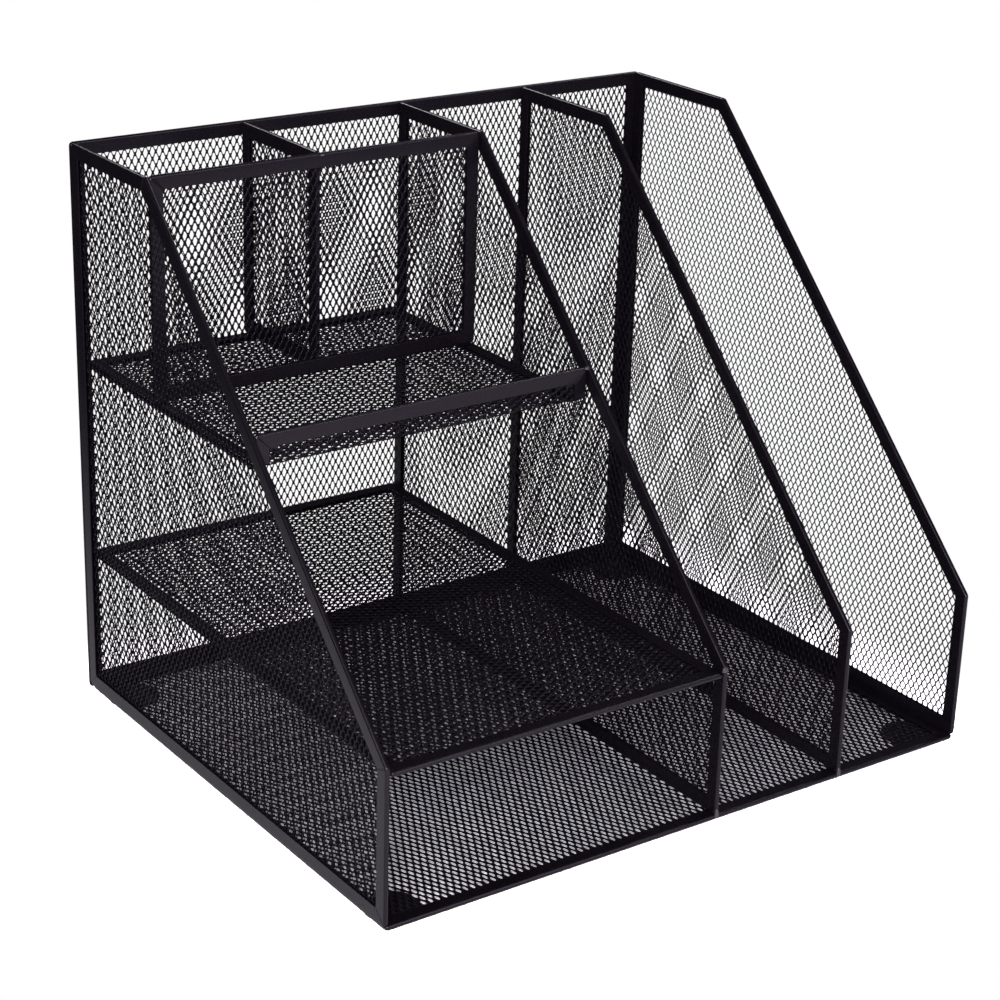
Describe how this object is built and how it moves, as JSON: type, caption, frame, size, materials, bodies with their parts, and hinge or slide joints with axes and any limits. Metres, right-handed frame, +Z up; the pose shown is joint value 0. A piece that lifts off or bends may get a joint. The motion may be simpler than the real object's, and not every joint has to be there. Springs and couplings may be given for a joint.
{
  "type": "desk document holder",
  "caption": "Desk document holder of black metal mesh panels in folded steel bindings, with shelves, pen cups and upright file slots.",
  "frame": {"origin": "on the table, in the middle of the footprint, at the underside of the feet", "axes": "+X to the right as seen from the open front, +Y to the back panel, +Z up"},
  "size_m": [0.32, 0.265, 0.27],
  "materials": {
    "mesh_sheet": "black powder coat on expanded metal mesh",
    "binding": "black powder coat, satin, on folded steel strip",
    "pad": "matt black foam rubber"
  },
  "bodies": {
    "root": {"base_mesh": "mesh_sheet", "left_side_mesh": "mesh_sheet", "right_side_mesh": "mesh_sheet", "tier_divider_mesh": "mesh_sheet", "file_divider_mesh": "mesh_sheet", "back_mesh": "mesh_sheet", "lower_shelf_mesh": "mesh_sheet", "upper_shelf_mesh": "mesh_sheet", "cup_front_mesh": "mesh_sheet", "cup_divider_mesh": "mesh_sheet", "base_binding": "binding", "left_side_binding": "binding", "right_side_binding": "binding", "tier_divider_binding": "binding", "file_divider_binding": "binding", "back_binding": "binding", "lower_shelf_binding": "binding", "upper_shelf_binding": "binding", "upper_lip_binding": "binding", "cup_front_binding": "binding", "cup_divider_binding": "binding", "foot_front_left": "pad", "foot_front_right": "pad", "foot_back_left": "pad", "foot_back_right": "pad"}
  },
  "joints": []
}
